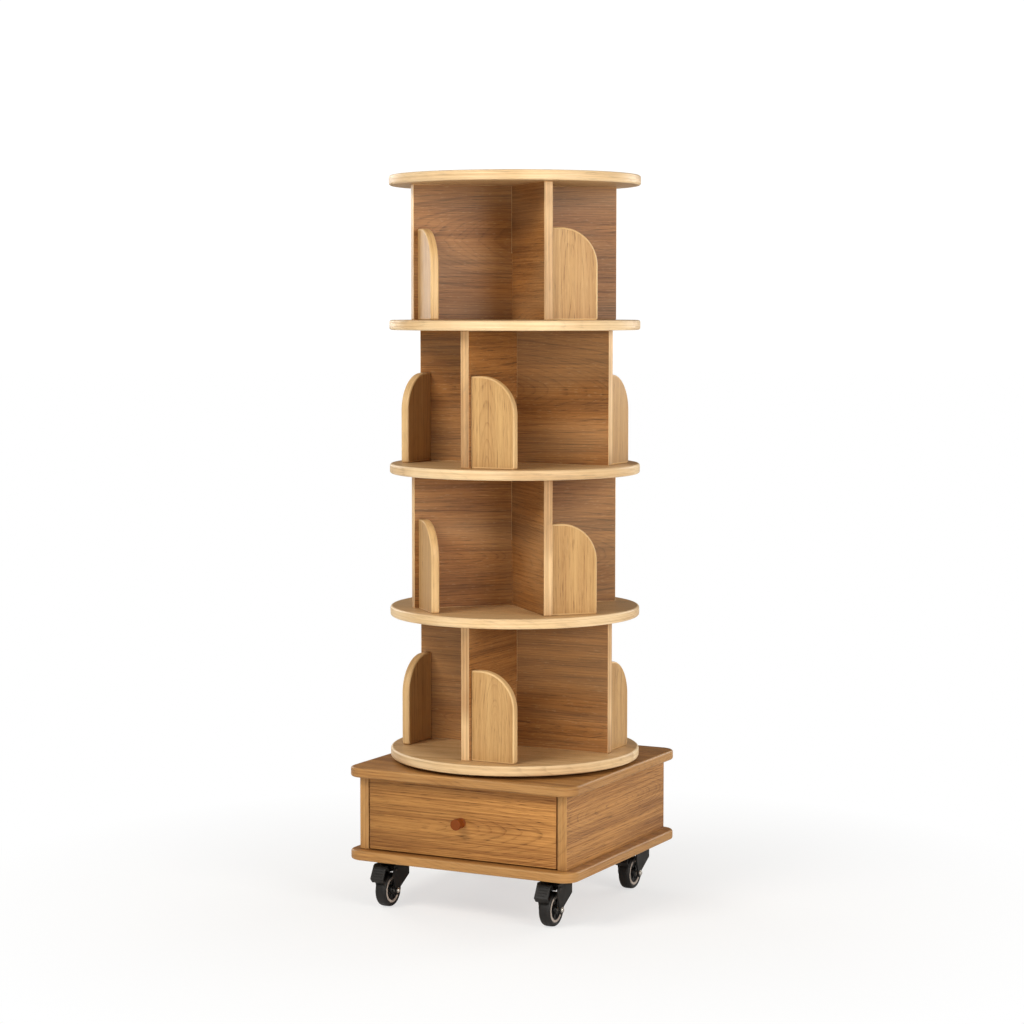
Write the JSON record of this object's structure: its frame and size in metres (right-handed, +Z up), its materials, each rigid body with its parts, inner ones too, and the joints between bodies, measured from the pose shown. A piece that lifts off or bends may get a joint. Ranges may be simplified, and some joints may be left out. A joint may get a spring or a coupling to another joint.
{
  "type": "rotating display rack",
  "caption": "Rotating book display rack: stacked round shelves with crossed dividers and book stops turn on a square drawer cabinet with braked swivel casters.",
  "frame": {"origin": "on the floor under the centre of the rack, on the turntable's axis", "axes": "+Z up along the turntable's axis; the drawer front faces -Y; +X is to the right of someone facing the drawer"},
  "size_m": [0.46, 0.463, 1.3335],
  "materials": {
    "shelf_oak": "satin light oak veneer",
    "stop_oak": "satin light oak veneer",
    "cabinet_oak": "satin oak veneer",
    "drawer_wood": "raw pale wood",
    "knob_wood": "satin red-brown turned wood",
    "zinc_steel": "zinc plated pressed steel",
    "black_steel": "satin black powder coat",
    "tyre_black": "matt black polyurethane"
  },
  "bodies": {
    "cabinet": {"cabinet_bottom_board": "cabinet_oak", "cabinet_top_board": "cabinet_oak", "cabinet_side_left": "cabinet_oak", "cabinet_side_right": "cabinet_oak", "cabinet_back_panel": "cabinet_oak", "turntable_lower_plate": "zinc_steel", "runner_left": "zinc_steel", "runner_right": "zinc_steel", "caster_front_left_plate": "black_steel", "caster_front_right_plate": "black_steel", "caster_rear_left_plate": "black_steel", "caster_rear_right_plate": "black_steel"},
    "carousel": {"turntable_upper_plate": "zinc_steel", "shelf_1": "shelf_oak", "shelf_2": "shelf_oak", "shelf_3": "shelf_oak", "shelf_4": "shelf_oak", "shelf_5": "shelf_oak", "tier_1_divider_a": "shelf_oak", "tier_1_divider_b": "shelf_oak", "tier_2_divider_a": "shelf_oak", "tier_2_divider_b": "shelf_oak", "tier_3_divider_a": "shelf_oak", "tier_3_divider_b": "shelf_oak", "tier_4_divider_a": "shelf_oak", "tier_4_divider_b": "shelf_oak", "tier_1_book_stop_1": "stop_oak", "tier_1_book_stop_2": "stop_oak", "tier_1_book_stop_3": "stop_oak", "tier_1_book_stop_4": "stop_oak", "tier_2_book_stop_1": "stop_oak", "tier_2_book_stop_2": "stop_oak", "tier_2_book_stop_3": "stop_oak", "tier_2_book_stop_4": "stop_oak", "tier_3_book_stop_1": "stop_oak", "tier_3_book_stop_2": "stop_oak", "tier_3_book_stop_3": "stop_oak", "tier_3_book_stop_4": "stop_oak", "tier_4_book_stop_1": "stop_oak", "tier_4_book_stop_2": "stop_oak", "tier_4_book_stop_3": "stop_oak", "tier_4_book_stop_4": "stop_oak"},
    "drawer": {"drawer_front": "cabinet_oak", "drawer_side_left": "drawer_wood", "drawer_side_right": "drawer_wood", "drawer_back": "drawer_wood", "drawer_bottom": "drawer_wood", "drawer_knob": "knob_wood"},
    "caster_front_left_swivel": {"caster_front_left_fork": "black_steel"},
    "caster_front_left_roller": {"caster_front_left_wheel": "tyre_black"},
    "caster_front_left_brake": {"caster_front_left_brake_pedal": "black_steel"},
    "caster_front_right_swivel": {"caster_front_right_fork": "black_steel"},
    "caster_front_right_roller": {"caster_front_right_wheel": "tyre_black"},
    "caster_front_right_brake": {"caster_front_right_brake_pedal": "black_steel"},
    "caster_rear_left_swivel": {"caster_rear_left_fork": "black_steel"},
    "caster_rear_left_roller": {"caster_rear_left_wheel": "tyre_black"},
    "caster_rear_left_brake": {"caster_rear_left_brake_pedal": "black_steel"},
    "caster_rear_right_swivel": {"caster_rear_right_fork": "black_steel"},
    "caster_rear_right_roller": {"caster_rear_right_wheel": "tyre_black"},
    "caster_rear_right_brake": {"caster_rear_right_brake_pedal": "black_steel"}
  },
  "joints": [
    {"name": "turntable_spin", "type": "hinge", "parent": "cabinet", "child": "carousel", "pos_m": [0, 0, 0.2625], "axis": [0, 0, 1], "continuous": true},
    {"name": "drawer_slide", "type": "slide", "parent": "cabinet", "child": "drawer", "axis": [0, -1, 0], "range_m": [0, 0.25]},
    {"name": "caster_front_left_swivel", "type": "hinge", "parent": "cabinet", "child": "caster_front_left_swivel", "pos_m": [-0.167, -0.167, 0.08], "axis": [0, 0, 1], "continuous": true},
    {"name": "caster_front_left_roll", "type": "hinge", "parent": "caster_front_left_swivel", "child": "caster_front_left_roller", "pos_m": [-0.167, -0.183, 0.031], "axis": [1, 0, 0], "continuous": true},
    {"name": "caster_front_left_brake", "type": "hinge", "parent": "caster_front_left_swivel", "child": "caster_front_left_brake", "pos_m": [-0.167, -0.189, 0.07], "axis": [1, 0, 0], "range_deg": [0, 12]},
    {"name": "caster_front_right_swivel", "type": "hinge", "parent": "cabinet", "child": "caster_front_right_swivel", "pos_m": [0.167, -0.167, 0.08], "axis": [0, 0, 1], "continuous": true},
    {"name": "caster_front_right_roll", "type": "hinge", "parent": "caster_front_right_swivel", "child": "caster_front_right_roller", "pos_m": [0.167, -0.183, 0.031], "axis": [1, 0, 0], "continuous": true},
    {"name": "caster_front_right_brake", "type": "hinge", "parent": "caster_front_right_swivel", "child": "caster_front_right_brake", "pos_m": [0.167, -0.189, 0.07], "axis": [1, 0, 0], "range_deg": [0, 12]},
    {"name": "caster_rear_left_swivel", "type": "hinge", "parent": "cabinet", "child": "caster_rear_left_swivel", "pos_m": [-0.167, 0.167, 0.08], "axis": [0, 0, 1], "continuous": true},
    {"name": "caster_rear_left_roll", "type": "hinge", "parent": "caster_rear_left_swivel", "child": "caster_rear_left_roller", "pos_m": [-0.167, 0.151, 0.031], "axis": [1, 0, 0], "continuous": true},
    {"name": "caster_rear_left_brake", "type": "hinge", "parent": "caster_rear_left_swivel", "child": "caster_rear_left_brake", "pos_m": [-0.167, 0.145, 0.07], "axis": [1, 0, 0], "range_deg": [0, 12]},
    {"name": "caster_rear_right_swivel", "type": "hinge", "parent": "cabinet", "child": "caster_rear_right_swivel", "pos_m": [0.167, 0.167, 0.08], "axis": [0, 0, 1], "continuous": true},
    {"name": "caster_rear_right_roll", "type": "hinge", "parent": "caster_rear_right_swivel", "child": "caster_rear_right_roller", "pos_m": [0.167, 0.151, 0.031], "axis": [1, 0, 0], "continuous": true},
    {"name": "caster_rear_right_brake", "type": "hinge", "parent": "caster_rear_right_swivel", "child": "caster_rear_right_brake", "pos_m": [0.167, 0.145, 0.07], "axis": [1, 0, 0], "range_deg": [0, 12]}
  ]
}
